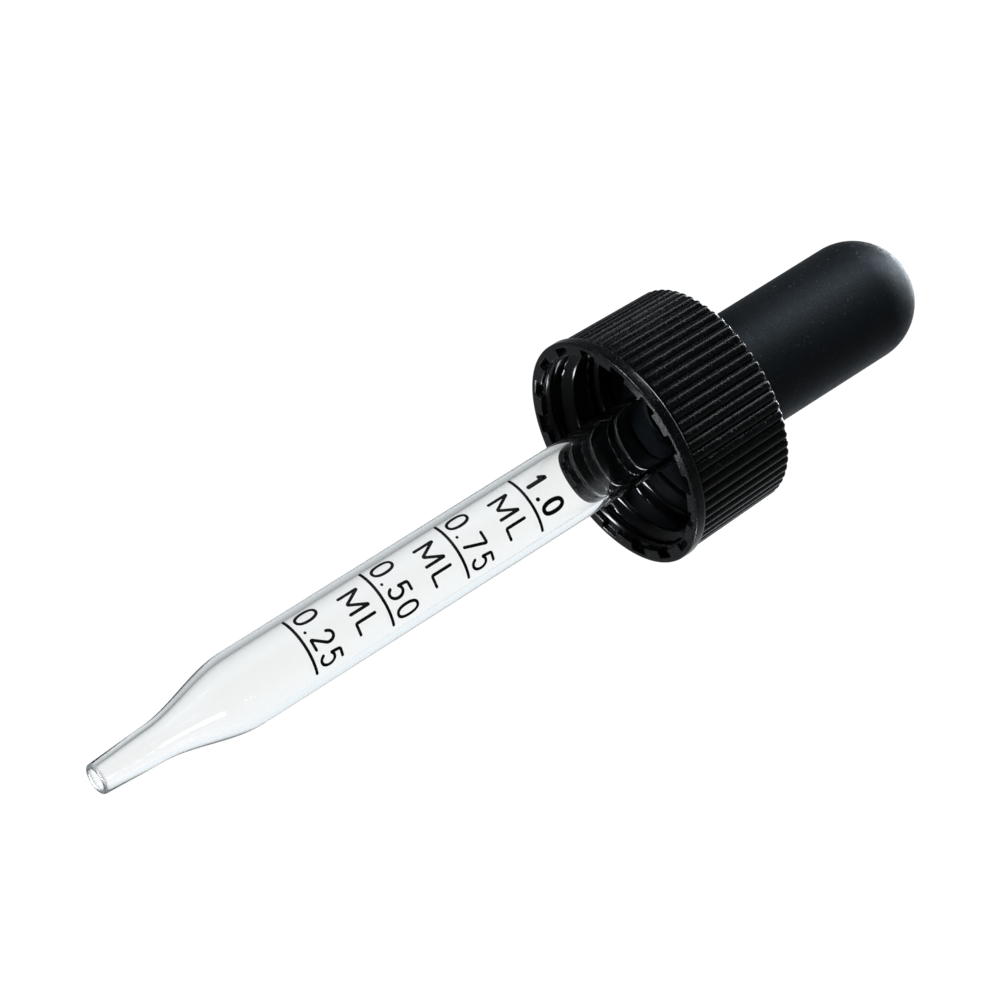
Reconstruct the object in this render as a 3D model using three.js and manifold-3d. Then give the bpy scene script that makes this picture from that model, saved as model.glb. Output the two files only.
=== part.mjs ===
// Medicine dropper: a ribbed screw closure, a one-piece rubber bulb and a glass pipette.
// Millimetres, +Z up along the dropper's axis, towards the bulb.
// The origin is the centre of the sealing plane, where the bulb's flange meets the bottle's lip.
import * as THREE from 'three';
import { mergeVertices } from 'three/addons/utils/BufferGeometryUtils.js';
import Module from 'manifold-3d';

const GAP = 0.3; // clearance kept between pieces that touch on the real object

// Closure
const MOUTH_Z = -7.9; // open end of the closure
const DECK_UNDER_Z = 2.8;
const DECK_TOP_Z = 4.4;
const DECK_HOLE_R = 5.4;
const LIP_R = 11.5; // plain band at the open end
const LIP_TOP_Z = -6.75;
const LIP_CHAMFER = 0.2;
const RIB_COUNT = 64;
const RIB_CREST_R = 11.28; // at the open end, before draft
const RIB_ROOT_R = 10.98;
const RIB_TOP_Z = 3.65;
const RIB_DRAFT = 0.975; // radius at the deck over radius at the open end
const RIB_CREST_SHARE = 0.34; // share of the rib pitch that the crest takes
const RIB_ROOT_SHARE = 0.62; // share of the rib pitch that the rib's foot takes
const SHOULDER_R = 0.8;
const SHOULDER_STEP = 0.08; // how far the shoulder sits inside the feet of the ribs

// Inside of the closure: the thread for a 20 mm bottle neck, and the notched ring at the mouth
const THREAD_ROOT_R = 10.05;
const THREAD_CREST_R = 9.05;
const THREAD_PITCH = 3.175;
const THREAD_TURNS = 1.775;
const THREAD_START_TURN = 0.1625; // fraction of a turn past the front, -Y
const THREAD_LEAD_DEPTH = 1.15; // depth of the ridge's middle below the mouth, at the front
const THREAD_FOOT = 1.5; // ridge width at the wall
const THREAD_TOP = 0.7; // ridge width at its crest
const NOTCH_COUNT = 16;
const NOTCH_DEPTH = 0.6;
const NOTCH_OUTER_R = 10.95;
const NOTCH_INNER_R = 10.2;
const NOTCH_SHARE = 0.45; // share of the pitch that a notch takes

// Rubber bulb
const BULB_R = 5.9;
const BULB_WALL = 1.2;
const DOME_Z = 22.4; // centre of the spherical end
const NECK_R = DECK_HOLE_R - GAP;
const FLANGE_R = THREAD_ROOT_R - GAP;
const FLANGE_TOP_Z = DECK_UNDER_Z - GAP;
const COLLAR_R = 4.65;
const COLLAR_DEPTH = 1.2; // how far the collar stands below the flange
const SLEEVE_TOP_Z = 6.3; // top of the rubber that grips the glass

// Finger walls: the parts of the bulb that travel inwards when it is squeezed
const PRESS_HALF_WIDTH = 3.4;
const PRESS_LOW_Z = 9.5;
const PRESS_HIGH_Z = 20.5;

// Glass pipette
const TUBE_R = 3.7;
const TUBE_WALL = 0.7;
const TIP_Z = -67.5;
const TUBE_LOW_Z = TIP_Z + 16.0; // where the drawn taper ends and the straight tube begins
const STEM_LENGTH = 5.8; // slim stretch above the tip
const TIP_R = 1.5;
const STEM_TOP_R = 1.82;
const TIP_BORE_R = 1.0;
const STEM_BORE_R = 1.32;
const FLARE_R = 4.3; // flared top end, which stops the tube from sliding out of its sleeve
const FLARE_TOP_Z = 8.4;
const FLARE_HEIGHT = 1.6;

const SEGMENTS = 40;
const { PI } = Math;

const wasm = await Module();
wasm.setup();

const materials = {
  plastic: new THREE.MeshStandardMaterial({ color: 0x0d0d0e, roughness: 0.42, metalness: 0 }),
  rubber: new THREE.MeshStandardMaterial({ color: 0x17181a, roughness: 0.75, metalness: 0 }),
  glass: new THREE.MeshStandardMaterial({
    color: 0xeef3f3, roughness: 0.03, metalness: 0, transparent: true, opacity: 0.35,
  }),
};

function toSolid(geometry) {
  const bare = geometry.clone();
  bare.deleteAttribute('normal');
  bare.deleteAttribute('uv');
  const merged = mergeVertices(bare, 1e-4);
  return new wasm.Manifold(new wasm.Mesh({
    numProp: 3,
    vertProperties: new Float32Array(merged.attributes.position.array),
    triVerts: new Uint32Array(merged.index.array),
  }));
}

function toGeometry(solid) {
  const mesh = solid.getMesh();
  const geometry = new THREE.BufferGeometry();
  geometry.setAttribute('position', new THREE.BufferAttribute(mesh.vertProperties, 3));
  geometry.setIndex(new THREE.BufferAttribute(mesh.triVerts, 1));
  geometry.computeVertexNormals();
  return geometry;
}

// A profile of [radius, height] pairs turned about +Z.
function turned(profile, segments = SEGMENTS) {
  const points = profile.map(([radius, z]) => new THREE.Vector2(radius, z));
  return new THREE.LatheGeometry(points, segments).rotateX(PI / 2);
}

// Points of [radius, height] along an arc, with both ends included.
function arc(centreR, centreZ, radius, fromAngle, toAngle, steps) {
  return Array.from({ length: steps + 1 }, (_, i) => {
    const angle = fromAngle + ((toAngle - fromAngle) * i) / steps;
    return [centreR + radius * Math.cos(angle), centreZ + radius * Math.sin(angle)];
  });
}

function boxBetween(low, high) {
  const size = high.map((value, i) => value - low[i]);
  const centre = high.map((value, i) => (value + low[i]) / 2);
  return new THREE.BoxGeometry(...size).translate(...centre);
}

// The skirt's outline has one trapezoid for each rib, and its radius shrinks with height.
function ribbedSkirt() {
  const outline = new THREE.Shape();
  const pitch = (2 * PI) / RIB_COUNT;
  for (let rib = 0; rib < RIB_COUNT; rib += 1) {
    const corners = [
      [-RIB_ROOT_SHARE / 2, RIB_ROOT_R],
      [-RIB_CREST_SHARE / 2, RIB_CREST_R],
      [RIB_CREST_SHARE / 2, RIB_CREST_R],
      [RIB_ROOT_SHARE / 2, RIB_ROOT_R],
    ];
    for (const [offset, radius] of corners) {
      const angle = (rib + offset) * pitch;
      const place = [radius * Math.cos(angle), radius * Math.sin(angle)];
      if (rib === 0 && offset === -RIB_ROOT_SHARE / 2) outline.moveTo(...place);
      else outline.lineTo(...place);
    }
  }
  outline.closePath();
  const low = (MOUTH_Z + LIP_TOP_Z) / 2;
  const height = RIB_TOP_Z - low;
  const skirt = new THREE.ExtrudeGeometry(outline, { depth: height, bevelEnabled: false });
  const position = skirt.attributes.position;
  for (let i = 0; i < position.count; i += 1) {
    const rise = position.getZ(i) / height;
    const shrink = 1 + (RIB_DRAFT - 1) * rise;
    position.setXYZ(i, position.getX(i) * shrink, position.getY(i) * shrink, low + rise * height);
  }
  return skirt;
}

// A trapezoid swept along a right-handed helix, with its ends left square.
function threadRidge() {
  const sunk = 0.3; // how far the ridge's foot reaches into the wall
  const steps = Math.round(THREAD_TURNS * SEGMENTS); // one for each facet of the bore
  const section = new THREE.Shape();
  section.moveTo(THREAD_ROOT_R + sunk, -THREAD_FOOT / 2);
  section.lineTo(THREAD_ROOT_R + sunk, THREAD_FOOT / 2);
  section.lineTo(THREAD_CREST_R, THREAD_TOP / 2);
  section.lineTo(THREAD_CREST_R, -THREAD_TOP / 2);
  section.closePath();
  const ridge = new THREE.ExtrudeGeometry(section, { depth: 1, steps, bevelEnabled: false });
  const position = ridge.attributes.position;
  for (let i = 0; i < position.count; i += 1) {
    const turn = THREAD_START_TURN + position.getZ(i) * THREAD_TURNS;
    const angle = turn * 2 * PI - PI / 2;
    const radius = position.getX(i);
    // The section is mirrored in height, so that the bent solid's faces still point out.
    const height = MOUTH_Z + THREAD_LEAD_DEPTH + turn * THREAD_PITCH - position.getY(i);
    position.setXYZ(i, radius * Math.cos(angle), radius * Math.sin(angle), height);
  }
  return ridge;
}

// One notch of the ring just inside the mouth, centred on the given angle.
function notch(angle) {
  const half = (NOTCH_SHARE * PI) / NOTCH_COUNT;
  const sector = new THREE.Shape();
  sector.absarc(0, 0, NOTCH_OUTER_R, angle - half, angle + half, false);
  sector.absarc(0, 0, NOTCH_INNER_R - GAP, angle + half, angle - half, true);
  sector.closePath();
  const depth = NOTCH_DEPTH + 1;
  return new THREE.ExtrudeGeometry(sector, { depth, bevelEnabled: false, curveSegments: 2 })
    .translate(0, 0, MOUTH_Z - 1);
}

function closureGeometry() {
  const lip = toSolid(turned([
    [0, LIP_TOP_Z],
    [LIP_R, LIP_TOP_Z],
    [LIP_R, MOUTH_Z + LIP_CHAMFER],
    [LIP_R - LIP_CHAMFER, MOUTH_Z],
    [0, MOUTH_Z],
  ].reverse(), 2 * SEGMENTS));
  const shoulderR = RIB_ROOT_R * RIB_DRAFT - SHOULDER_STEP;
  const shoulder = toSolid(turned([
    [0, DECK_UNDER_Z],
    [shoulderR, DECK_UNDER_Z],
    ...arc(shoulderR - SHOULDER_R, DECK_TOP_Z - SHOULDER_R, SHOULDER_R, 0, PI / 2, 4),
    [0, DECK_TOP_Z],
  ], RIB_COUNT));
  const bore = toSolid(turned([
    [0, MOUTH_Z - 1],
    [NOTCH_INNER_R, MOUTH_Z - 1],
    [NOTCH_INNER_R, MOUTH_Z + NOTCH_DEPTH],
    [THREAD_ROOT_R, MOUTH_Z + NOTCH_DEPTH],
    [THREAD_ROOT_R, DECK_UNDER_Z],
    [DECK_HOLE_R, DECK_UNDER_Z],
    [DECK_HOLE_R, DECK_TOP_Z + 1],
    [0, DECK_TOP_Z + 1],
  ]));
  let body = toSolid(ribbedSkirt()).add(lip).add(shoulder).subtract(bore);
  for (let i = 0; i < NOTCH_COUNT; i += 1) {
    const angle = ((i + 0.5) * 2 * PI) / NOTCH_COUNT - PI / 2;
    body = body.subtract(toSolid(notch(angle)));
  }
  return toGeometry(body.add(toSolid(threadRidge())));
}

// The whole rubber moulding, before its finger walls are cut free.
function bulbSolid() {
  const inner = BULB_R - BULB_WALL;
  const sleeveR = TUBE_R + GAP;
  const low = DECK_TOP_Z + GAP;
  return toSolid(turned([
    ...arc(0, DOME_Z, inner, PI / 2, 0, 6).map(([radius, z]) => [Math.max(radius, 0), z]),
    [inner, SLEEVE_TOP_Z],
    [sleeveR, SLEEVE_TOP_Z],
    [sleeveR, -COLLAR_DEPTH],
    [COLLAR_R, -COLLAR_DEPTH],
    [COLLAR_R, 0],
    [FLANGE_R, 0],
    [FLANGE_R, FLANGE_TOP_Z],
    [NECK_R, FLANGE_TOP_Z],
    [NECK_R, low],
    [BULB_R, low],
    ...arc(0, DOME_Z, BULB_R, 0, PI / 2, 8).map(([radius, z]) => [Math.max(radius, 0), z]),
  ].map(([radius, z]) => [radius < 1e-9 ? 0 : radius, z])));
}

// A block that takes one finger wall out of the bulb: side is -1 at the front and 1 at the back.
function pressBlock(side, margin) {
  const near = side;
  const far = side * (BULB_R + 2);
  return toSolid(boxBetween(
    [-PRESS_HALF_WIDTH - margin, Math.min(near, far), PRESS_LOW_Z - margin],
    [PRESS_HALF_WIDTH + margin, Math.max(near, far), PRESS_HIGH_Z + margin],
  ));
}

// The drawn tube, outside and inside, closed on itself.
function pipetteGeometry() {
  const taperSteps = 7;
  const stemTop = TIP_Z + STEM_LENGTH;
  // The radius between the stem and the straight tube follows a smooth S.
  const shoulder = (stemR, tubeR) => Array.from({ length: taperSteps + 1 }, (_, i) => {
    const share = i / taperSteps;
    const ease = share * share * (3 - 2 * share);
    return [stemR + (tubeR - stemR) * ease, stemTop + (TUBE_LOW_Z - stemTop) * share];
  });
  const boreR = TUBE_R - TUBE_WALL;
  const flareLow = FLARE_TOP_Z - FLARE_HEIGHT;
  const rimR = (TIP_R - TIP_BORE_R) / 2;
  const outside = [
    ...arc(TIP_BORE_R + rimR, TIP_Z + rimR, rimR, -PI, 0, 4),
    ...shoulder(STEM_TOP_R, TUBE_R),
    [TUBE_R, flareLow],
    [FLARE_R, FLARE_TOP_Z - TUBE_WALL],
    [FLARE_R, FLARE_TOP_Z],
  ];
  const inside = [
    [FLARE_R - TUBE_WALL, FLARE_TOP_Z],
    [boreR, flareLow + TUBE_WALL],
    ...shoulder(STEM_BORE_R, boreR).reverse(),
  ];
  return toGeometry(toSolid(turned([...outside, ...inside, outside[0]])));
}

function named(name, geometry, material) {
  const mesh = new THREE.Mesh(geometry, material);
  mesh.name = name;
  return mesh;
}

const bulb = bulbSolid();
const frontWall = bulb.intersect(pressBlock(-1, 0));
const backWall = bulb.intersect(pressBlock(1, 0));
const bulbBody = bulb.subtract(pressBlock(-1, GAP)).subtract(pressBlock(1, GAP));

const dropper = new THREE.Group();
dropper.add(named('closure_cap', closureGeometry(), materials.plastic));
dropper.add(named('rubber_bulb', toGeometry(bulbBody), materials.rubber));
dropper.add(named('press_wall_front', toGeometry(frontWall), materials.rubber));
dropper.add(named('press_wall_back', toGeometry(backWall), materials.rubber));
dropper.add(named('glass_pipette', pipetteGeometry(), materials.glass));

export default dropper;
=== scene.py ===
import math
from functools import partial

import bpy
import numpy as np
from mathutils import Matrix, Vector


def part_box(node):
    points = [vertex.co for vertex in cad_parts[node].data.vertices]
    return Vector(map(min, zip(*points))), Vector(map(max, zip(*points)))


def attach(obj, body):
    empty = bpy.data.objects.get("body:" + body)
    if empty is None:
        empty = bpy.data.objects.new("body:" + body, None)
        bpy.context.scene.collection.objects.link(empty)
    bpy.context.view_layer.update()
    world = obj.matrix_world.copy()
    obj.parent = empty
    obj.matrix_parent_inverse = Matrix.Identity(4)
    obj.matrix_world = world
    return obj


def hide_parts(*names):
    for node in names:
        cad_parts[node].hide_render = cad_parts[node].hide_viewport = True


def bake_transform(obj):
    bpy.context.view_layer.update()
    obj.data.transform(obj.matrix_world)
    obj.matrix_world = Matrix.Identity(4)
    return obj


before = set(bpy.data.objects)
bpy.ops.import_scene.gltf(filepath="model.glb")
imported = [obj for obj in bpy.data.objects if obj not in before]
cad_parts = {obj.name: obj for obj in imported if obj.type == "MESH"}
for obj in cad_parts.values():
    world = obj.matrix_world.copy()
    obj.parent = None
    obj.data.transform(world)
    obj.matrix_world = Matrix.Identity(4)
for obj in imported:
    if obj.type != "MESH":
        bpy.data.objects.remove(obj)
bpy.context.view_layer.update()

# ---------------------------------------------------------------- sizes, in millimetres

MM = 0.001


def node_box(node):
    """A CAD node's lowest and highest corners, in millimetres."""
    low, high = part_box(node)
    return Vector(low) / MM, Vector(high) / MM


cap_low, cap_high = node_box("closure_cap")
bulb_low, bulb_high = node_box("rubber_bulb")
pipette_low, pipette_high = node_box("glass_pipette")

# Closure
MOUTH_Z = cap_low.z
DECK_TOP_Z = cap_high.z
LIP_R = cap_high.x
DECK_THICKNESS = 1.6
DECK_UNDER_Z = DECK_TOP_Z - DECK_THICKNESS
DECK_HOLE_R = 5.4
BAND_HEIGHT = 1.15
BAND_TOP_Z = MOUTH_Z + BAND_HEIGHT
RIB_COUNT = 64
COLUMNS_PER_RIB = 14
RIB_ROOT_R = LIP_R - 0.52
RIB_HEIGHT = 0.3
RIB_ROUNDNESS = 2.2
RIB_DRAFT = 0.975
SHOULDER_R = 0.8
THREAD_ROOT_R = 10.05
THREAD_DEPTH = 1.0
THREAD_PITCH = 3.175
THREAD_START_TURN = 0.1625
THREAD_TURNS = 1.775
THREAD_END_TURN = THREAD_START_TURN + THREAD_TURNS
THREAD_LEAD_DEPTH = 1.15
THREAD_HALF_WIDTH = 0.78
THREAD_ROW = 0.08
BEAD_HEIGHT = 0.2
BEAD_Z = MOUTH_Z + 1.12
BEAD_HALF_WIDTH = 0.42
NOTCH_COUNT = 16
NOTCH_DEPTH = 0.6
NOTCH_OUTER_R = 10.97
NOTCH_INNER_R = 10.2
TOOTH_SHARE = 0.55

# Rubber bulb
BULB_R = 5.9
BULB_WALL = 1.2
DOME_Z = bulb_high.z - BULB_R
SEAT_TOP_Z = 7.0
DOME_LOW_Z = 22.0
NECK_GAP = 0.08
NECK_R = DECK_HOLE_R - NECK_GAP
FLANGE_GAP = 0.25
FLANGE_R = THREAD_ROOT_R - FLANGE_GAP
FLANGE_DECK_GAP = 0.05
FLANGE_TOP_Z = DECK_UNDER_Z - FLANGE_DECK_GAP
COLLAR_R = 4.65
COLLAR_DEPTH = -bulb_low.z
SLEEVE_TOP_Z = 6.3
BULB_COLUMNS = 128
SQUEEZE_BANDS = 8
SQUEEZE_ROWS = 6

# Glass pipette
TUBE_R = 3.7
TUBE_WALL = 0.7
TIP_Z = pipette_low.z
STEM_LENGTH = 5.8
TAPER_TOP = 16.0
TIP_R = 1.5
STEM_TOP_R = 1.82
TIP_BORE_R = 1.0
STEM_BORE_R = 1.32
FLARE_R = pipette_high.x
FLARE_TOP_Z = pipette_high.z
FLARE_HEIGHT = 1.6
GLASS_COLUMNS = 160

# Printed scale
LINE_STEP = 8.72
FIRST_LINE_Z = MOUTH_Z - 37.86
PRINT_TURN = math.radians(-5.1)
LINE_HALF_ANGLE = math.radians(46.6)
STROKE = 0.3
CORNER_ROUNDNESS = 0.6  # times the width of a stroke
DIGIT_HEIGHT = 2.49
POINT_HEIGHT = STROKE * 1.1
INK_LOW = 0.004
INK_HIGH = 0.02
NUMBERS = ("0.25", "0.50", "0.75", "1.0")
NUMBER_GAP = 0.6
NUMBER_SPANS = ((-44.4, -22.7), (-15.2, -11.8), (-3.4, 17.9), (25.2, 46.6))  # degrees round the tube
LAST_NUMBER_SPANS = ((-27.6, -16.0), (-0.4, 3.4), (10.7, 33.0))
LAST_NUMBER_BOLDNESS = 1.38
UNIT_DROP = 3.58
UNIT_HEIGHT = 2.42
UNIT_SPANS = (("M", -30.9, 2.3), ("L", 12.1, 33.7))


# ---------------------------------------------------------------- mesh helpers

SHARP_ANGLE = math.radians(32)


def make_object(name, vertices, faces):
    """A smooth-shaded object from vertices in millimetres, with edges sharper than SHARP_ANGLE kept sharp."""
    mesh = bpy.data.meshes.new(name)
    mesh.from_pydata((np.asarray(vertices) * MM).tolist(), [], faces)
    mesh.shade_smooth()
    mesh.set_sharp_from_angle(angle=SHARP_ANGLE)
    mesh.update()
    piece = bpy.data.objects.new(name, mesh)
    bpy.context.scene.collection.objects.link(piece)
    return piece


def grid_faces(rows, columns, wrap_rows, wrap_columns, first=0):
    """Quads of a grid of vertices, facing outwards where the rows run anticlockwise round the section."""
    row_steps = rows if wrap_rows else rows - 1
    column_steps = columns if wrap_columns else columns - 1
    faces = []
    for i in range(row_steps):
        low = first + i * columns
        high = first + ((i + 1) % rows) * columns
        for j in range(column_steps):
            k = (j + 1) % columns
            faces.append((low + j, low + k, high + k, high + j))
    return faces


def around(radius, height, angles):
    """Vertices from grids of radius and height, with one angle for each column."""
    radius, height, angles = np.broadcast_arrays(radius, height, angles)
    return np.stack([radius * np.cos(angles), radius * np.sin(angles), height], axis=-1)


def full_turn(columns):
    return np.arange(columns) * (2 * math.pi / columns)


def lathe(name, profile, columns, poles=False):
    """A profile of (radius, height) turned about Z: a closed ring or, with poles, a body whose profile starts
    and ends on the axis."""
    profile = np.array(profile, float)
    ring = profile[1:-1] if poles else profile
    vertices = around(ring[:, :1], ring[:, 1:], full_turn(columns)).reshape(-1, 3)
    faces = grid_faces(len(ring), columns, not poles, True)
    if poles:
        start = len(vertices)
        last = (len(ring) - 1) * columns
        ends = [[0, 0, profile[0, 1]], [0, 0, profile[-1, 1]]]
        vertices = np.vstack([vertices, ends])
        for j in range(columns):
            k = (j + 1) % columns
            faces.append((start, k, j))
            faces.append((start + 1, last + j, last + k))
    return make_object(name, vertices, faces)


def arc(centre_r, centre_z, radius, from_degrees, to_degrees, steps):
    """Points of (radius, height) on an arc, with both ends."""
    angles = np.radians(np.linspace(from_degrees, to_degrees, steps + 1))
    return [(centre_r + radius * math.cos(a), centre_z + radius * math.sin(a)) for a in angles]


def ease(t):
    """A smooth step from 0 to 1."""
    t = np.clip(t, 0, 1)
    return t * t * (3 - 2 * t)


# ---------------------------------------------------------------- materials

def new_material(name):
    material = bpy.data.materials.new(name)
    material.use_nodes = True
    nodes = material.node_tree.nodes
    return material, nodes, material.node_tree.links, nodes["Principled BSDF"]


def math_node(nodes, links, operation, *values):
    """A Math node's result: each value is a number or another node's output."""
    node = nodes.new("ShaderNodeMath")
    node.operation = operation
    for socket, value in zip(node.inputs, values):
        if isinstance(value, float):
            socket.default_value = value
        else:
            links.new(value, socket)
    return node.outputs[0]


def object_point(nodes):
    """The place in the object's own metres."""
    return nodes.new("ShaderNodeTexCoord").outputs["Object"]


def object_height(nodes, links):
    split = nodes.new("ShaderNodeSeparateXYZ")
    links.new(object_point(nodes), split.inputs[0])
    return split.outputs["Z"]


def axis_distance(nodes, links):
    """How far the place is from the Z axis, in metres."""
    flat = nodes.new("ShaderNodeVectorMath")
    flat.operation = "MULTIPLY"
    flat.inputs[1].default_value = (1, 1, 0)
    links.new(object_point(nodes), flat.inputs[0])
    length = nodes.new("ShaderNodeVectorMath")
    length.operation = "LENGTH"
    links.new(flat.outputs["Vector"], length.inputs[0])
    return length.outputs["Value"]


def noise(nodes, links, scale, detail, roughness=0.5):
    """Noise in the object's own metres: scale is the number of features in a metre."""
    texture = nodes.new("ShaderNodeTexNoise")
    texture.inputs["Scale"].default_value = scale
    texture.inputs["Detail"].default_value = detail
    texture.inputs["Roughness"].default_value = roughness
    links.new(object_point(nodes), texture.inputs["Vector"])
    return texture.outputs["Fac"]


def ramp(nodes, links, value, stops):
    """A colour ramp over value, with (position, grey or colour) stops."""
    node = nodes.new("ShaderNodeValToRGB")
    elements = node.color_ramp.elements
    while len(elements) < len(stops):
        elements.new(0.5)
    for element, (position, colour) in zip(elements, stops):
        element.position = position
        rgb = colour if isinstance(colour, tuple) else (colour,) * 3
        element.color = (*rgb, 1)
    links.new(value, node.inputs["Fac"])
    return node.outputs["Color"]


def bump(nodes, links, height, distance, strength=0.5, before=None):
    """A bumped normal: height is a node's output, and distance is in metres."""
    node = nodes.new("ShaderNodeBump")
    node.inputs["Distance"].default_value = distance
    node.inputs["Strength"].default_value = strength
    links.new(height, node.inputs["Height"])
    if before is not None:
        links.new(before, node.inputs["Normal"])
    return node.outputs["Normal"]


def plastic_material():
    """Black moulded plastic: a fine grain with bright specks outside, glossy in the bore and along its
    moulded edges."""
    material, nodes, links, shader = new_material("black_moulded_plastic")
    shader.inputs["Specular IOR Level"].default_value = 0.68
    combined = partial(math_node, nodes, links)
    shades = partial(ramp, nodes, links)

    per_mm = 0.05  # a whole ramp spreads over 20 mm
    middle = 0.5  # where height 0 lies in it
    radius = combined("MULTIPLY", axis_distance(nodes, links), per_mm / MM)
    bore_edge = [(THREAD_ROOT_R + 0.01, 0.0), (THREAD_ROOT_R + 0.19, 1.0)]
    outside = shades(radius, [(r * per_mm, share) for r, share in bore_edge])
    level = combined("MULTIPLY_ADD", object_height(nodes, links), per_mm / MM, middle)
    moulded_edges = [
        (BAND_TOP_Z - 0.29, 0.0), (BAND_TOP_Z - 0.21, 1.0),
        (BAND_TOP_Z + 0.03, 1.0), (BAND_TOP_Z + 0.09, 0.0),
        (DECK_TOP_Z - 0.7, 0.0), (DECK_TOP_Z - 0.5, 1.0),
        (DECK_TOP_Z - 0.1, 1.0), (DECK_TOP_Z, 0.3),
    ]
    edges = shades(level, [(z * per_mm + middle, share) for z, share in moulded_edges])
    textured = combined("MAXIMUM", combined("SUBTRACT", outside, edges), 0.0)

    specks = shades(noise(nodes, links, 6200, 1), [(0.6, 0.0), (0.72, 1.0)])
    tone = shades(combined("MULTIPLY", specks, textured), [
        (0.0, (0.0035, 0.0038, 0.0045)),
        (1.0, (0.055, 0.058, 0.062)),
    ])
    links.new(tone, shader.inputs["Base Color"])
    uneven = combined("ADD", noise(nodes, links, 900, 3), textured)
    rough = shades(combined("MULTIPLY", uneven, 0.5), [(0.15, 0.1), (0.35, 0.16), (0.65, 0.2), (0.85, 0.3)])
    links.new(rough, shader.inputs["Roughness"])
    grain = combined("MULTIPLY", noise(nodes, links, 5600, 2, 0.6), textured)
    sparks = shades(noise(nodes, links, 4300, 1), [(0.62, 0.0), (0.7, 1.0)])
    sparks = combined("MULTIPLY", sparks, textured)
    grained = bump(nodes, links, grain, 0.00001)
    links.new(bump(nodes, links, sparks, 0.00002, before=grained), shader.inputs["Normal"])
    return material


def rubber_material():
    """Soft black rubber: matt, faintly mottled, with fine dust."""
    material, nodes, links, shader = new_material("matt_black_rubber")
    shader.inputs["Specular Tint"].default_value = (0.75, 0.88, 1.0, 1)
    shader.inputs["Specular IOR Level"].default_value = 0.7
    tone = ramp(nodes, links, noise(nodes, links, 420, 4), [
        (0.3, (0.0050, 0.0063, 0.0084)),
        (0.7, (0.0072, 0.0090, 0.0117)),
    ])
    dust = ramp(nodes, links, noise(nodes, links, 3000, 1), [(0.72, 0.0), (0.75, 1.0)])
    mixed = nodes.new("ShaderNodeMix")
    mixed.data_type = "RGBA"
    links.new(dust, mixed.inputs["Factor"])
    links.new(tone, mixed.inputs["A"])
    mixed.inputs["B"].default_value = (0.1, 0.105, 0.11, 1)
    links.new(mixed.outputs["Result"], shader.inputs["Base Color"])
    rough = ramp(nodes, links, noise(nodes, links, 1500, 3), [(0.3, 0.5), (0.7, 0.6)])
    links.new(rough, shader.inputs["Roughness"])
    links.new(bump(nodes, links, noise(nodes, links, 5200, 2, 0.6), 0.00003), shader.inputs["Normal"])
    return material


def glass_material():
    """Clear drawn glass: very faint draw lines along the tube, and a ground end at the tip."""
    material, nodes, links, shader = new_material("clear_drawn_glass")
    shader.inputs["Base Color"].default_value = (0.985, 0.995, 0.995, 1)
    shader.inputs["IOR"].default_value = 1.5
    per_metre = 100.0  # spreads 10 mm over a whole ramp
    above_tip = math_node(
        nodes, links, "MULTIPLY_ADD", object_height(nodes, links), per_metre, -TIP_Z * MM * per_metre)
    links.new(ramp(nodes, links, above_tip, [(0.03, 0.3), (0.06, 0.0)]), shader.inputs["Roughness"])
    clear = ramp(nodes, links, above_tip, [(0.02, 0.6), (0.04, 1.0)])
    links.new(clear, shader.inputs["Transmission Weight"])
    stretch = nodes.new("ShaderNodeMapping")
    stretch.inputs["Scale"].default_value = (1, 1, 0.04)
    texture = nodes.new("ShaderNodeTexNoise")
    texture.inputs["Scale"].default_value = 500
    links.new(object_point(nodes), stretch.inputs["Vector"])
    links.new(stretch.outputs["Vector"], texture.inputs["Vector"])
    links.new(bump(nodes, links, texture.outputs["Fac"], 0.00002, 0.15), shader.inputs["Normal"])
    return material


def ink_material():
    """Fired black screen-print ink, a little thin in places."""
    material, nodes, links, shader = new_material("black_scale_ink")
    tone = ramp(nodes, links, noise(nodes, links, 2400, 3, 0.7), [(0.6, 0.003), (0.8, 0.03)])
    links.new(tone, shader.inputs["Base Color"])
    shader.inputs["Roughness"].default_value = 0.5
    links.new(bump(nodes, links, noise(nodes, links, 9000, 2), 0.000005), shader.inputs["Normal"])
    return material


# ---------------------------------------------------------------- closure

def rib_profile(angles):
    """How far the ribs stand out round the skirt, from 0 in a groove to 1 on a crest."""
    aside = np.abs(np.mod(angles * RIB_COUNT / math.pi + 1, 2) - 1)
    return 1 - aside ** RIB_ROUNDNESS


def outer_rows(angles):
    """Rows of the closure's outside, from the lip's edge up to the deck, as (radius, height) grids."""
    edge = 0.15
    band_edge = 0.25
    rows = arc(LIP_R - edge, MOUTH_Z + edge, edge, -90, 0, 4)
    rows += arc(LIP_R - band_edge, BAND_TOP_Z - band_edge, band_edge, 0, 80, 8)
    ribs = rib_profile(angles)
    band_gap = 0.04
    low_z = BAND_TOP_Z + band_gap
    high_z = DECK_TOP_Z - SHOULDER_R
    start_fade = 0.25
    full_degrees, gone_degrees = 6, 62  # where the ribs start to fade into the shoulder, and where they end
    fading = np.linspace(low_z, low_z + start_fade, 6)
    straight = np.linspace(low_z + start_fade, high_z, 6)[1:]
    for z in [*fading, *straight]:
        share = min((z - low_z) / start_fade, 1)
        fade = math.sqrt(1 - (1 - share) ** 2)
        root = RIB_ROOT_R * (1 + (RIB_DRAFT - 1) * (z - low_z) / (high_z - low_z))
        rows.append((root + RIB_HEIGHT * fade * ribs, z))
    centre_r = RIB_ROOT_R * RIB_DRAFT - SHOULDER_R
    for degrees in np.linspace(5, 90, 18):
        angle = math.radians(degrees)
        fade = ease((gone_degrees - degrees) / (gone_degrees - full_degrees))
        out = SHOULDER_R + RIB_HEIGHT * ribs * fade
        height = np.minimum(high_z + out * math.sin(angle), DECK_TOP_Z)
        rows.append((centre_r + out * math.cos(angle), height))
    return rows


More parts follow.
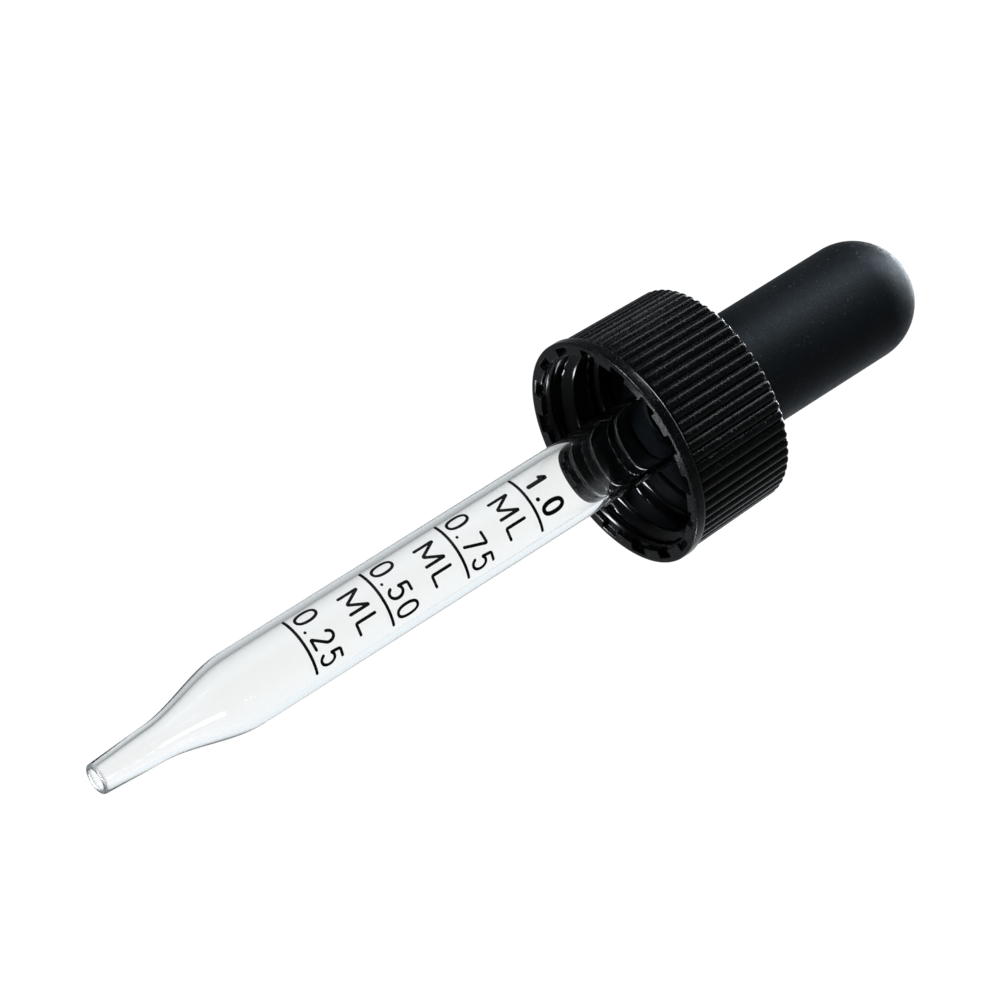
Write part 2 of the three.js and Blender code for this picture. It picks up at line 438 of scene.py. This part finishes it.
def deck_rows():
    """Rows from the deck's top, down through its hole and out along its underside."""
    edge = 0.15
    corner = 0.3
    middle_r = 8.0
    rows = [(middle_r, DECK_TOP_Z)]
    rows += arc(DECK_HOLE_R + edge, DECK_TOP_Z - edge, edge, 90, 180, 3)
    rows += arc(DECK_HOLE_R + edge, DECK_UNDER_Z + edge, edge, 180, 270, 3)
    rows += arc(THREAD_ROOT_R - corner, DECK_UNDER_Z - corner, corner, 90, 0, 3)
    return rows


def thread_height(angles, z):
    """How far the thread stands in from the bore's wall at height z, from 0 to 1, for each column."""
    turn = np.mod(angles + math.pi / 2, 2 * math.pi) / (2 * math.pi)
    height = np.zeros_like(turn)
    fade_turns = 0.03
    fullness = 0.65  # below 1 the ridge's crest is broader than a cosine's
    for whole in range(math.ceil(THREAD_END_TURN)):
        along = turn + whole
        inside = np.minimum(along - THREAD_START_TURN, THREAD_END_TURN - along)
        centre = MOUTH_Z + THREAD_LEAD_DEPTH + along * THREAD_PITCH
        aside = np.clip(np.abs(z - centre) / THREAD_HALF_WIDTH, 0, 1)
        ridge = ((1 + np.cos(math.pi * aside)) / 2) ** fullness
        height = np.maximum(height, ridge * ease(inside / fade_turns))
    return height


def bead_height(z):
    """How far a small round bead stands in from the wall, just inside the notched ring."""
    aside = min(abs(z - BEAD_Z) / BEAD_HALF_WIDTH, 1)
    return BEAD_HEIGHT * math.sqrt(1 - aside ** 2)


def bore_rows(angles):
    """Rows down the threaded wall, over the notched ring and out across the lip."""
    thread_top = MOUTH_Z + THREAD_LEAD_DEPTH + THREAD_PITCH * THREAD_END_TURN + THREAD_HALF_WIDTH
    ledge_z = MOUTH_Z + NOTCH_DEPTH
    plain_height = 0.5  # of the wall straight above the thread
    rounding = 0.03
    edge = 0.05
    rows = [(THREAD_ROOT_R, thread_top + plain_height)]
    for z in np.arange(thread_top, ledge_z + edge, -THREAD_ROW):
        inward = np.maximum(THREAD_DEPTH * thread_height(angles, z), bead_height(z))
        rows.append((THREAD_ROOT_R - inward, z))
    rows.append((THREAD_ROOT_R, ledge_z + rounding))
    rows.append((THREAD_ROOT_R + rounding, ledge_z))
    pitch = 2 * math.pi / NOTCH_COUNT
    from_tooth = np.abs(np.mod(angles + math.pi / 2 + pitch / 2, pitch) - pitch / 2)
    notch = np.where(from_tooth > TOOTH_SHARE * pitch / 2, 1.0, 0.0)
    draft = edge * 0.2
    wall_share = 0.92  # how much of a tooth's height its straight inner wall takes up
    corner_drop = NOTCH_DEPTH * 0.06
    floor_z = MOUTH_Z + NOTCH_DEPTH * notch
    rows.append((NOTCH_INNER_R, ledge_z))
    rows.append((NOTCH_INNER_R + draft, ledge_z - (ledge_z - floor_z) * wall_share))
    rows.append((NOTCH_INNER_R + edge, floor_z))
    rows.append((NOTCH_OUTER_R - edge, floor_z))
    rows.append((NOTCH_OUTER_R - draft, floor_z - corner_drop * notch))
    rows.append((NOTCH_OUTER_R, MOUTH_Z + edge * notch))
    rows.append((NOTCH_OUTER_R + edge, MOUTH_Z))
    return rows


def build_closure(material):
    columns = RIB_COUNT * COLUMNS_PER_RIB
    angles = full_turn(columns)
    rows = outer_rows(angles) + deck_rows() + bore_rows(angles)
    radius = np.array([np.broadcast_to(r, columns) for r, _ in rows])
    height = np.array([np.broadcast_to(z, columns) for _, z in rows])
    vertices = around(radius, height, angles).reshape(-1, 3)
    cap = make_object("ribbed_closure", vertices, grid_faces(len(rows), columns, True, True))
    cap.data.materials.append(material)
    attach(cap, "closure")
    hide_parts("closure_cap")


# ---------------------------------------------------------------- bulb

def build_seat(material):
    """The bulb's foot: the collar round the glass, the seal flange, the neck in the deck's hole and the
    lowest part of the wall."""
    glass_gap = 0.015
    deck_gap = 0.02
    sleeve = TUBE_R + glass_gap
    inner = BULB_R - BULB_WALL
    low = DECK_TOP_Z + deck_gap
    edge = 0.3
    fillet = 0.35
    chamfer = 0.1
    profile = arc(COLLAR_R - edge, -COLLAR_DEPTH + edge, edge, -90, 0, 5)
    profile += arc(COLLAR_R + fillet, -fillet, fillet, 180, 90, 5)
    profile += arc(FLANGE_R - edge, edge, edge, -90, 0, 5)
    profile += arc(FLANGE_R - edge, FLANGE_TOP_Z - edge, edge, 0, 90, 5)
    profile += [(NECK_R, FLANGE_TOP_Z), (NECK_R, low)]
    profile += arc(BULB_R - edge, low + edge, edge, -90, 0, 5)
    profile += [(BULB_R, SEAT_TOP_Z), (inner, SEAT_TOP_Z), (inner, SLEEVE_TOP_Z)]
    profile += [(sleeve, SLEEVE_TOP_Z), (sleeve, -COLLAR_DEPTH + chamfer), (sleeve + chamfer, -COLLAR_DEPTH)]
    seat = lathe("bulb_seat", profile, BULB_COLUMNS)
    seat.data.materials.append(material)
    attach(seat, "dropper")
    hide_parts("rubber_bulb")


def build_dome(material):
    """The rigid spherical end."""
    inner = BULB_R - BULB_WALL
    profile = arc(0, DOME_Z, inner, 90, 0, 16)
    profile += [(inner, DOME_LOW_Z), (BULB_R, DOME_LOW_Z)]
    profile += arc(0, DOME_Z, BULB_R, 0, 90, 28)
    dome = lathe("bulb_dome", profile, BULB_COLUMNS, poles=True)
    dome.data.materials.append(material)
    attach(dome, "dropper")
    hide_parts("rubber_bulb")


def build_squeeze_band(material, index, side, low, high):
    """One half-ring of the soft wall, from height low to height high, on the front or the back of the bulb."""
    rows = SQUEEZE_ROWS
    half_columns = BULB_COLUMNS // 2 + 1
    facing = side * math.pi / 2
    angles = facing + np.linspace(-math.pi / 2, math.pi / 2, half_columns)
    heights = np.linspace(low, high, rows)
    inner = BULB_R - BULB_WALL
    radius = np.array([BULB_R] * rows + [inner] * rows)[:, None]
    height = np.concatenate([heights, heights[::-1]])[:, None]
    vertices = around(radius, height, angles).reshape(-1, 3)
    faces = grid_faces(2 * rows, half_columns, True, False)
    faces.append([i * half_columns for i in range(2 * rows)])
    faces.append([(i + 1) * half_columns - 1 for i in reversed(range(2 * rows))])
    name = "front" if side < 0 else "back"
    band = make_object(f"bulb_wall_{name}_{index}", vertices, faces)
    band.data.materials.append(material)
    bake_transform(band)
    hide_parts(f"press_wall_{name}")


def build_bulb(material):
    build_seat(material)
    build_dome(material)
    levels = np.linspace(SEAT_TOP_Z, DOME_LOW_Z, SQUEEZE_BANDS + 1)
    for side in (-1, 1):
        for i in range(SQUEEZE_BANDS):
            build_squeeze_band(material, i + 1, side, levels[i], levels[i + 1])


# ---------------------------------------------------------------- pipette

def build_pipette(material):
    stem_top = TIP_Z + STEM_LENGTH
    taper_top = TIP_Z + TAPER_TOP
    bore_r = TUBE_R - TUBE_WALL
    shares = np.linspace(0, 1, 33)
    taper_z = stem_top + (taper_top - stem_top) * shares
    outer_taper = zip(STEM_TOP_R + (TUBE_R - STEM_TOP_R) * ease(shares), taper_z)
    inner_taper = zip(STEM_BORE_R + (bore_r - STEM_BORE_R) * ease(shares), taper_z)
    rim = (TIP_R - TIP_BORE_R) / 2
    lip = TUBE_WALL / 2
    flare_z = FLARE_TOP_Z - FLARE_HEIGHT
    flare = [
        (TUBE_R + (FLARE_R - TUBE_R) * ease(share), flare_z + (FLARE_HEIGHT - lip) * share)
        for share in np.linspace(0, 1, 7)
    ]
    profile = arc(TIP_BORE_R + rim, TIP_Z + rim, rim, -180, 0, 14)
    profile += list(outer_taper)
    profile += flare
    profile += arc(FLARE_R - lip, FLARE_TOP_Z - lip, lip, 0, 180, 8)[1:]
    profile += [(r - TUBE_WALL, z) for r, z in reversed(flare)][1:]
    profile += list(inner_taper)[::-1]
    tube = lathe("drawn_glass_pipette", profile, GLASS_COLUMNS)
    tube.data.materials.append(material)
    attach(tube, "dropper")
    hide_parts("glass_pipette")


# ---------------------------------------------------------------- printed scale

def oval():
    """The path of a 0: a closed oval with flattened sides, in a box of one by one."""
    steps = 28
    squareness = (0.82, 0.9)  # 1 gives a plain ellipse, and less a squarer oval
    path = []
    for a in full_turn(steps):
        x, y = (math.copysign(abs(w) ** power, w) for w, power in zip((math.cos(a), math.sin(a)), squareness))
        path.append((0.5 + x / 2, 0.5 + y / 2))
    return path


def bow(centre, radii, from_degrees, to_degrees):
    """Points on part of an ellipse, with both ends."""
    steps = 14
    angles = np.radians(np.linspace(from_degrees, to_degrees, steps + 1))
    return [(centre[0] + radii[0] * math.cos(a), centre[1] + radii[1] * math.sin(a)) for a in angles]


# Each glyph is one stroke: its path in a box of one by one, and whether it closes on itself.
GLYPHS = {
    "0": (oval(), True),
    "1": ([(0, 0.72), (1, 1), (1, 0)], False),
    "2": (bow((0.5, 0.71), (0.46, 0.29), 165, -28) + [(0.04, 0), (1, 0)], False),
    "5": ([(0.9, 1), (0.16, 1), (0.09, 0.56)] + bow((0.46, 0.33), (0.5, 0.33), 125, -150), False),
    "7": ([(0, 1), (1, 1), (0.36, 0)], False),
    "M": ([(0, 0), (0, 1), (0.5, 0.12), (1, 1), (1, 0)], False),
    "L": ([(0, 1), (0, 0), (1, 0)], False),
    ".": ([(0, 0), (0.01, 0)], False),
}


def rounded_corners(path, closed, radius):
    """The path with each sharp corner replaced by a short curve. A closed path has no such corner."""
    points = [Vector(p) for p in path]
    if closed:
        return points
    result = [points[0]]
    for before, corner, after in zip(points, points[1:], points[2:]):
        to_before = before - corner
        to_after = after - corner
        cut = min(radius, to_before.length / 2, to_after.length / 2)
        start = corner + to_before.normalized() * cut
        end = corner + to_after.normalized() * cut
        for t in np.linspace(0, 1, 6):
            result.append(start * (1 - t) ** 2 + corner * (2 * t * (1 - t)) + end * t * t)
    result.append(points[-1])
    return result


def stroke_outline(points, closed, width):
    """Left and right edges of a stroke, with round ends drawn by narrowing it almost to a point."""
    count = len(points)
    left, right = [], []
    for i, point in enumerate(points):
        before = points[i - 1] if closed or i > 0 else point
        after = points[(i + 1) % count] if closed or i < count - 1 else point
        tangent = (after - before).normalized()
        normal = Vector((-tangent.y, tangent.x)) * (width / 2)
        left.append(point + normal)
        right.append(point - normal)
    if closed:
        return left, right
    end_steps = 6
    point_width = 1e-4
    for end, inner, sign in ((0, 1, -1), (-1, -2, 1)):
        tangent = (points[end] - points[inner]).normalized()
        normal = Vector((-tangent.y, tangent.x)) * sign
        for a in np.linspace(0, math.pi / 2, end_steps)[1:]:
            tip = points[end] + tangent * (width / 2 * math.sin(a))
            offset = normal * (width / 2 * math.cos(a) + point_width)
            place = 0 if end == 0 else len(left)
            left.insert(place, tip + offset)
            right.insert(place, tip - offset)
    return left, right


def wrapped(point, lift):
    """A point of the flat print, (round the tube, along it) in millimetres, laid on the glass."""
    angle = point.x / TUBE_R - math.pi / 2 + PRINT_TURN
    radius = TUBE_R + lift
    return (radius * math.cos(angle), radius * math.sin(angle), point.y)


def add_stroke(vertices, faces, points, closed, width):
    """Adds one stroke of ink as a thin closed solid on the tube."""
    left, right = stroke_outline(points, closed, width)
    first = len(vertices)
    rows = len(left)
    for a, b in zip(left, right):
        for point, lift in ((a, INK_LOW), (b, INK_LOW), (b, INK_HIGH), (a, INK_HIGH)):
            vertices.append(wrapped(point, lift))
    faces += grid_faces(rows, 4, closed, True, first)
    if not closed:
        faces.append((first + 3, first + 2, first + 1, first))
        faces.append(tuple(first + (rows - 1) * 4 + k for k in range(4)))


def add_glyph(vertices, faces, glyph, left_degrees, right_degrees, base_z, height, width=STROKE):
    """Draws a glyph between two angles round the tube, measured from the middle of the print."""
    path, closed = GLYPHS[glyph]
    low = math.radians(left_degrees) * TUBE_R + width / 2
    high = math.radians(right_degrees) * TUBE_R - width / 2
    placed = [(low + x * (high - low), base_z + width / 2 + y * (height - width)) for x, y in path]
    points = rounded_corners(placed, closed, width * CORNER_ROUNDNESS)
    add_stroke(vertices, faces, points, closed, width)


def add_line(vertices, faces, z):
    half = LINE_HALF_ANGLE * TUBE_R
    points = [Vector((x, z)) for x in np.linspace(-half, half, 49)]
    add_stroke(vertices, faces, points, False, STROKE)


def build_scale(material):
    """Four volume lines, each with its number above it, and the unit below all but the lowest."""
    vertices, faces = [], []
    for i, text in enumerate(NUMBERS):
        z = FIRST_LINE_Z + i * LINE_STEP
        add_line(vertices, faces, z)
        last = text == NUMBERS[-1]
        width = STROKE * (LAST_NUMBER_BOLDNESS if last else 1.0)
        for glyph, span in zip(text, LAST_NUMBER_SPANS if last else NUMBER_SPANS):
            height = POINT_HEIGHT if glyph == "." else DIGIT_HEIGHT
            add_glyph(vertices, faces, glyph, *span, z + NUMBER_GAP, height, width)
        if i > 0:
            for glyph, *span in UNIT_SPANS:
                add_glyph(vertices, faces, glyph, *span, z - UNIT_DROP, UNIT_HEIGHT)
    ink = make_object("printed_scale", vertices, faces)
    ink.data.materials.append(material)
    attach(ink, "dropper")


# ---------------------------------------------------------------- camera, light and floor

IMAGE_PIXELS = 1000
SENSOR_MM = 36
FOCAL_PIXELS = 4600
PIXELS_PER_MM = 10.87
AXIS_ANGLE = math.radians(63.86)
ROLL = math.radians(32.1)
MOUTH_OFFSET = (11.07, 1.93)  # of the closure's mouth from the view's centre: along the tube, and across it
ALONG = Vector((0, -math.cos(AXIS_ANGLE), math.sin(AXIS_ANGLE)))
ACROSS = Vector((1, 0, 0))
FORWARD = ALONG.cross(ACROSS)
RIGHT = ALONG * math.cos(ROLL) + ACROSS * math.sin(ROLL)
UP = ALONG * math.sin(ROLL) - ACROSS * math.cos(ROLL)
BACK_TURN = math.radians(14)  # how far the room's bright end is turned from straight behind, for gloss
GLASS_TURN = math.radians(30)  # and for what is seen in the glass

FLOOR_LEVEL = -0.6  # this and the next in metres
FLOOR_HALF = 4.0
LIGHT_COLOUR = (0.88, 0.95, 1.0)

# Soft boxes: metres to the right of, above and nearer than the object in the main view; two sides; watts.
SOFT_BOXES = {
    "key_soft_box": ((0.43, 0.71, 0.0), (0.2, 0.6), 2.15),
    "left_strip": ((-0.56, 0.14, 0.39), (0.15, 0.3), 3.0),
    "rim_soft_box": ((0.5, 0.3, -0.35), (0.3, 0.3), 1.3),
    "edge_spark": ((0.336, 0.235, -0.684), (0.3, 0.13), 2.5),
    "band_spark": ((0.455, 0.42, -0.28), (0.12, 0.12), 0.7),
    "low_soft_box": ((-0.07, -0.68, -0.16), (0.15, 0.15), 1.0),
    "right_strip": ((0.576, -0.205, 0.5), (0.015, 0.09), 0.05),
}

# How bright the room is: the BACK ramps run from the near side at 0 to the far side at 1, the SIDE ramps
# from the side of -ACROSS to that of ACROSS. The two of ROOM are multiplied, and so are the two of GLASS.
# STRAIGHT_SIDE alone shades what is seen straight through the glass.
ROOM_BACK = [(0.0, 0.02), (0.35, 0.03), (0.55, 0.08), (0.8, 0.15), (0.9, 0.32), (1.0, 0.85)]
ROOM_SIDE = [(0.0, 0.6), (0.5, 0.9), (1.0, 1.0)]
GLASS_BACK = [(0.0, 0.02), (0.3, 0.06), (0.4, 0.22), (0.53, 0.68), (0.66, 0.97), (0.74, 1.0)]
GLASS_SIDE = [(0.0, 0.25), (0.1, 0.42), (0.24, 0.62), (0.36, 0.85), (0.5, 0.99), (0.7, 1.04)]
STRAIGHT_SIDE = [(0.0, 1.0), (0.1, 1.0), (0.2, 0.57), (0.24, 0.62), (0.36, 0.85), (0.5, 0.99), (0.7, 1.04)]
CAUGHT_BRIGHTNESS = 0.9
WHITE_STRENGTH = 1.05


def build_camera():
    data = bpy.data.cameras.new("main_camera")
    camera = bpy.data.objects.new("main_camera", data)
    bpy.context.scene.collection.objects.link(camera)
    data.sensor_width = SENSOR_MM
    data.lens = SENSOR_MM * FOCAL_PIXELS / IMAGE_PIXELS
    data.clip_start = 0.01
    data.clip_end = 20
    mouth = Vector((0, 0, MOUTH_Z))
    distance = FOCAL_PIXELS / PIXELS_PER_MM
    place = mouth - ALONG * MOUTH_OFFSET[0] - ACROSS * MOUTH_OFFSET[1] - FORWARD * distance
    turn = Matrix((RIGHT, UP, -FORWARD)).transposed().to_4x4()
    camera.matrix_world = Matrix.Translation(place * MM) @ turn
    bpy.context.scene.camera = camera


def build_light(name, place, size, power):
    data = bpy.data.lights.new(name, "AREA")
    data.shape = "RECTANGLE"
    data.size, data.size_y = size
    data.energy = power
    data.color = LIGHT_COLOUR
    light = bpy.data.objects.new(name, data)
    bpy.context.scene.collection.objects.link(light)
    right, up, nearer = place
    light.location = RIGHT * right + UP * up - FORWARD * nearer
    light.rotation_mode = "QUATERNION"
    light.rotation_quaternion = (-light.location).to_track_quat("-Z", "Y")
    light.visible_camera = False


def build_world():
    """White behind the object, seen directly or, a little shaded at one side, straight through the glass.
    What the surfaces reflect is a room that is bright at the far side and nearly black at the near side."""
    world = bpy.data.worlds.new("studio")
    world.use_nodes = True
    bpy.context.scene.world = world
    nodes = world.node_tree.nodes
    links = world.node_tree.links

    combined = partial(math_node, nodes, links)
    ray = nodes.new("ShaderNodeLightPath").outputs
    ray_direction = nodes.new("ShaderNodeTexCoord").outputs["Generated"]

    def mixed(share, first, second):
        """A mix of two grey values, each a number or another node's output."""
        node = nodes.new("ShaderNodeMix")
        links.new(share, node.inputs["Factor"])
        for socket, value in ((node.inputs["A"], first), (node.inputs["B"], second)):
            if isinstance(value, float):
                socket.default_value = value
            else:
                links.new(value, socket)
        return node.outputs["Result"]

    def facing(direction):
        """1 for a ray in this direction, and 0 for one the opposite way."""
        dot = nodes.new("ShaderNodeVectorMath")
        dot.operation = "DOT_PRODUCT"
        dot.inputs[1].default_value = direction
        links.new(ray_direction, dot.inputs[0])
        return combined("MULTIPLY_ADD", dot.outputs["Value"], 0.5, 0.5)

    def turned_back(angle):
        return FORWARD * math.cos(angle) + ACROSS * math.sin(angle)

    across = facing(ACROSS)
    room = combined(
        "MULTIPLY",
        ramp(nodes, links, facing(turned_back(BACK_TURN)), ROOM_BACK),
        ramp(nodes, links, across, ROOM_SIDE))
    # A ray that was reflected twice or more before it left the glass finds at least this brightness behind.
    caught = combined("MULTIPLY", combined("GREATER_THAN", ray["Glossy Depth"], 1.5), CAUGHT_BRIGHTNESS)
    glass_back = combined("MAXIMUM", ramp(nodes, links, facing(turned_back(GLASS_TURN)), GLASS_BACK), caught)
    glass_room = combined("MULTIPLY", glass_back, ramp(nodes, links, across, GLASS_SIDE))
    reflected = nodes["Background"]
    reflected.inputs["Color"].default_value = (0.92, 0.97, 1.0, 1)
    links.new(mixed(ray["Is Transmission Ray"], room, glass_room), reflected.inputs["Strength"])

    white = nodes.new("ShaderNodeBackground")
    white.inputs["Color"].default_value = (1, 1, 1, 1)
    shade = mixed(ray["Is Camera Ray"], ramp(nodes, links, across, STRAIGHT_SIDE), 1.0)
    links.new(combined("MULTIPLY", shade, WHITE_STRENGTH), white.inputs["Strength"])
    bounces = combined("ADD", ray["Glossy Depth"], ray["Diffuse Depth"])
    straight = combined("MULTIPLY", ray["Is Transmission Ray"], combined("LESS_THAN", bounces, 0.5))
    background = nodes.new("ShaderNodeMixShader")
    links.new(combined("MAXIMUM", ray["Is Camera Ray"], straight), background.inputs["Fac"])
    links.new(reflected.outputs[0], background.inputs[1])
    links.new(white.outputs[0], background.inputs[2])
    links.new(background.outputs[0], nodes["World Output"].inputs["Surface"])


def build_floor():
    """A plain pale floor, well below the object, which hangs by its closure. It isn't mirrored in the object
    and doesn't light it."""
    mesh = bpy.data.meshes.new("studio_floor")
    signs = ((-1, -1), (1, -1), (1, 1), (-1, 1))
    corners = [(x * FLOOR_HALF, y * FLOOR_HALF, FLOOR_LEVEL) for x, y in signs]
    mesh.from_pydata(corners, [], [(0, 1, 2, 3)])
    floor = bpy.data.objects.new("studio_floor", mesh)
    bpy.context.scene.collection.objects.link(floor)
    material, _, _, shader = new_material("pale_floor")
    shader.inputs["Base Color"].default_value = (0.5, 0.5, 0.5, 1)
    shader.inputs["Roughness"].default_value = 0.9
    shader.inputs["Emission Color"].default_value = (0.97, 0.99, 1.0, 1)
    shader.inputs["Emission Strength"].default_value = 0.75
    mesh.materials.append(material)
    floor.visible_diffuse = False
    floor.visible_glossy = False


def build_studio():
    build_world()
    build_floor()
    for name, (place, size, power) in SOFT_BOXES.items():
        build_light(name, place, size, power)
    bpy.context.scene.view_settings.view_transform = "Standard"


build_camera()
build_studio()
plastic = plastic_material()
rubber = rubber_material()
build_closure(plastic)
build_bulb(rubber)
build_pipette(glass_material())
build_scale(ink_material())
